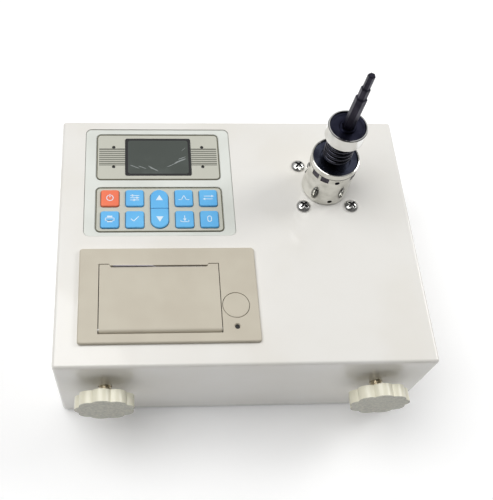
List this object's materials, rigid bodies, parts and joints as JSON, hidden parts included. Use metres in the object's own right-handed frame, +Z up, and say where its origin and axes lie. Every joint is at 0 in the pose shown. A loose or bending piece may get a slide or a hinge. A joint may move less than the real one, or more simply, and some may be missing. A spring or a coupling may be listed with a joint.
{
  "type": "torque tester",
  "caption": "Benchtop torque tester: folded metal case with display, keypad and paper printer, a sprung test joint with a stepped hex bit on top, and screw feet on its front side.",
  "frame": {"origin": "middle of the footprint of the whole object, on the plane that the rubber pads stand on", "axes": "+X to the right, +Y to the back, +Z up; the two screw feet point to -Y, the front"},
  "size_m": [0.232, 0.1954, 0.1957],
  "materials": {
    "case_paint": "satin",
    "zinc_sheet": "satin",
    "pad_rubber": "matte",
    "panel_silver": "satin",
    "inlay_film": "satin",
    "window_glass": "gloss",
    "display_dark": "satin",
    "black_plastic": "gloss",
    "key_orange": "satin",
    "key_blue": "satin",
    "board_green": "satin",
    "printer_beige": "satin",
    "white_plastic": "satin",
    "bright_steel": "polished",
    "brass": "satin",
    "head_aluminium": "satin",
    "paper": "matte",
    "chrome": "polished",
    "blued_steel": "polished",
    "battery_wrap": "gloss",
    "knob_cream": "satin"
  },
  "bodies": {
    "case": {"top_cover": "case_paint", "base_plate": "zinc_sheet", "base_screws": "bright_steel", "rubber_pads": "pad_rubber", "panel_frame": "panel_silver", "panel_inlays": "inlay_film", "display_window": "window_glass", "display_module": "display_dark", "indicator_lamps": "black_plastic", "key_board": "board_green", "key_switches": "black_plastic", "printer_bezel": "printer_beige", "printer_housing": "printer_beige", "door_pin": "bright_steel", "feed_motor": "bright_steel", "print_head": "head_aluminium", "paper_strip": "paper", "button_spring": "bright_steel", "feed_lamp": "black_plastic", "flange_screws": "bright_steel", "torque_cell": "head_aluminium", "drive_cup": "chrome", "cup_set_screws": "blued_steel", "cup_core": "blued_steel", "joint_spring": "blued_steel", "main_board": "board_green", "standoffs": "brass", "battery_pack": "battery_wrap", "buzzer": "black_plastic", "charge_jack": "black_plastic", "usb_socket": "bright_steel", "weld_nuts": "zinc_sheet"},
    "door": {"printer_door": "printer_beige"},
    "platen": {"platen_roller": "pad_rubber", "platen_shaft": "bright_steel", "platen_gear": "white_plastic"},
    "idler": {"idler_gear": "white_plastic"},
    "pinion": {"motor_pinion": "brass"},
    "roll": {"paper_roll": "paper"},
    "button": {"release_button": "printer_beige"},
    "lever": {"release_lever": "white_plastic"},
    "seat": {"spring_seat": "blued_steel"},
    "bolt": {"joint_bolt": "blued_steel", "joint_collar": "chrome"},
    "bit": {"hex_bit": "blued_steel"},
    "stud_left": {"left_stud": "bright_steel"},
    "stud_right": {"right_stud": "bright_steel"},
    "knob_left": {"left_knob": "knob_cream"},
    "knob_right": {"right_knob": "knob_cream"},
    "power_key": {"key_power": "key_orange"},
    "set_key": {"key_set": "key_blue"},
    "up_key": {"key_up": "key_blue"},
    "down_key": {"key_down": "key_blue"},
    "peak_key": {"key_peak": "key_blue"},
    "unit_key": {"key_unit": "key_blue"},
    "print_key": {"key_print": "key_blue"},
    "check_key": {"key_check": "key_blue"},
    "save_key": {"key_save": "key_blue"},
    "zero_key": {"key_zero": "key_blue"}
  },
  "joints": [
    {"name": "key_power_press", "type": "slide", "parent": "case", "child": "power_key", "axis": [0, 0, -1], "range_m": [0, 0.0006], "stiffness_N_per_m": 300},
    {"name": "key_set_press", "type": "slide", "parent": "case", "child": "set_key", "axis": [0, 0, -1], "range_m": [0, 0.0006], "stiffness_N_per_m": 300},
    {"name": "key_up_press", "type": "slide", "parent": "case", "child": "up_key", "axis": [0, 0, -1], "range_m": [0, 0.0006], "stiffness_N_per_m": 300},
    {"name": "key_down_press", "type": "slide", "parent": "case", "child": "down_key", "axis": [0, 0, -1], "range_m": [0, 0.0006], "stiffness_N_per_m": 300},
    {"name": "key_peak_press", "type": "slide", "parent": "case", "child": "peak_key", "axis": [0, 0, -1], "range_m": [0, 0.0006], "stiffness_N_per_m": 300},
    {"name": "key_unit_press", "type": "slide", "parent": "case", "child": "unit_key", "axis": [0, 0, -1], "range_m": [0, 0.0006], "stiffness_N_per_m": 300},
    {"name": "key_print_press", "type": "slide", "parent": "case", "child": "print_key", "axis": [0, 0, -1], "range_m": [0, 0.0006], "stiffness_N_per_m": 300},
    {"name": "key_check_press", "type": "slide", "parent": "case", "child": "check_key", "axis": [0, 0, -1], "range_m": [0, 0.0006], "stiffness_N_per_m": 300},
    {"name": "key_save_press", "type": "slide", "parent": "case", "child": "save_key", "axis": [0, 0, -1], "range_m": [0, 0.0006], "stiffness_N_per_m": 300},
    {"name": "key_zero_press", "type": "slide", "parent": "case", "child": "zero_key", "axis": [0, 0, -1], "range_m": [0, 0.0006], "stiffness_N_per_m": 300},
    {"name": "door_swing", "type": "hinge", "parent": "case", "child": "door", "pos_m": [-0.05185, -0.0593, 0.0847], "axis": [1, 0, 0], "range_deg": [0, 95]},
    {"name": "roll_spin", "type": "hinge", "parent": "case", "child": "roll", "pos_m": [-0.05185, -0.04167, 0.0575], "axis": [1, 0, 0], "continuous": true},
    {"name": "platen_spin", "type": "hinge", "parent": "door", "child": "platen", "pos_m": [-0.05185, -0.02225, 0.08], "axis": [1, 0, 0], "continuous": true},
    {"name": "idler_spin", "type": "hinge", "parent": "case", "child": "idler", "pos_m": [-0.02095, -0.02225, 0.0684], "axis": [1, 0, 0], "continuous": true},
    {"name": "pinion_spin", "type": "hinge", "parent": "case", "child": "pinion", "pos_m": [-0.02095, -0.02934, 0.06052], "axis": [1, 0, 0], "continuous": true},
    {"name": "button_press", "type": "slide", "parent": "case", "child": "button", "axis": [0, 0, -1], "range_m": [0, 0.002], "stiffness_N_per_m": 500, "deforming": ["button_spring"]},
    {"name": "lever_tilt", "type": "hinge", "parent": "case", "child": "lever", "pos_m": [-0.0115, -0.0448, 0.0712], "axis": [0, 1, 0], "range_deg": [0, 20.5]},
    {"name": "joint_travel", "type": "slide", "parent": "case", "child": "seat", "axis": [0, 0, -1], "range_m": [0, 0.00625], "deforming": ["joint_spring"]},
    {"name": "joint_turn", "type": "hinge", "parent": "seat", "child": "bolt", "pos_m": [0.0614, 0.0432, 0.1441], "axis": [0, 0, -1], "range_deg": [0, 1800]},
    {"name": "bit_lift", "type": "slide", "parent": "bolt", "child": "bit", "axis": [0.0384, 0, 0.9993], "range_m": [0, 0.012]},
    {"name": "left_foot_reach", "type": "slide", "parent": "case", "child": "stud_left", "axis": [0, -1, 0], "range_m": [-0.005, 0.005]},
    {"name": "left_knob_turn", "type": "hinge", "parent": "stud_left", "child": "knob_left", "pos_m": [-0.086, -0.0897, 0.0497], "axis": [0, -1, 0], "range_deg": [-1440, 1440]},
    {"name": "right_foot_reach", "type": "slide", "parent": "case", "child": "stud_right", "axis": [0, -1, 0], "range_m": [-0.005, 0.005]},
    {"name": "right_knob_turn", "type": "hinge", "parent": "stud_right", "child": "knob_right", "pos_m": [0.086, -0.0897, 0.0497], "axis": [0, -1, 0], "range_deg": [-1440, 1440]}
  ],
  "couplings": [
    {"joint": "platen_spin", "follows": "roll_spin", "ratio": -4.375},
    {"joint": "idler_spin", "follows": "roll_spin", "ratio": 2.3333},
    {"joint": "pinion_spin", "follows": "roll_spin", "ratio": -5.8333},
    {"joint": "lever_tilt", "follows": "button_press", "rad_per_m": 175},
    {"joint": "joint_turn", "follows": "joint_travel", "rad_per_m": 5026.5},
    {"joint": "left_foot_reach", "follows": "left_knob_turn", "m_per_rad": 0.00019894},
    {"joint": "right_foot_reach", "follows": "right_knob_turn", "m_per_rad": 0.00019894}
  ]
}
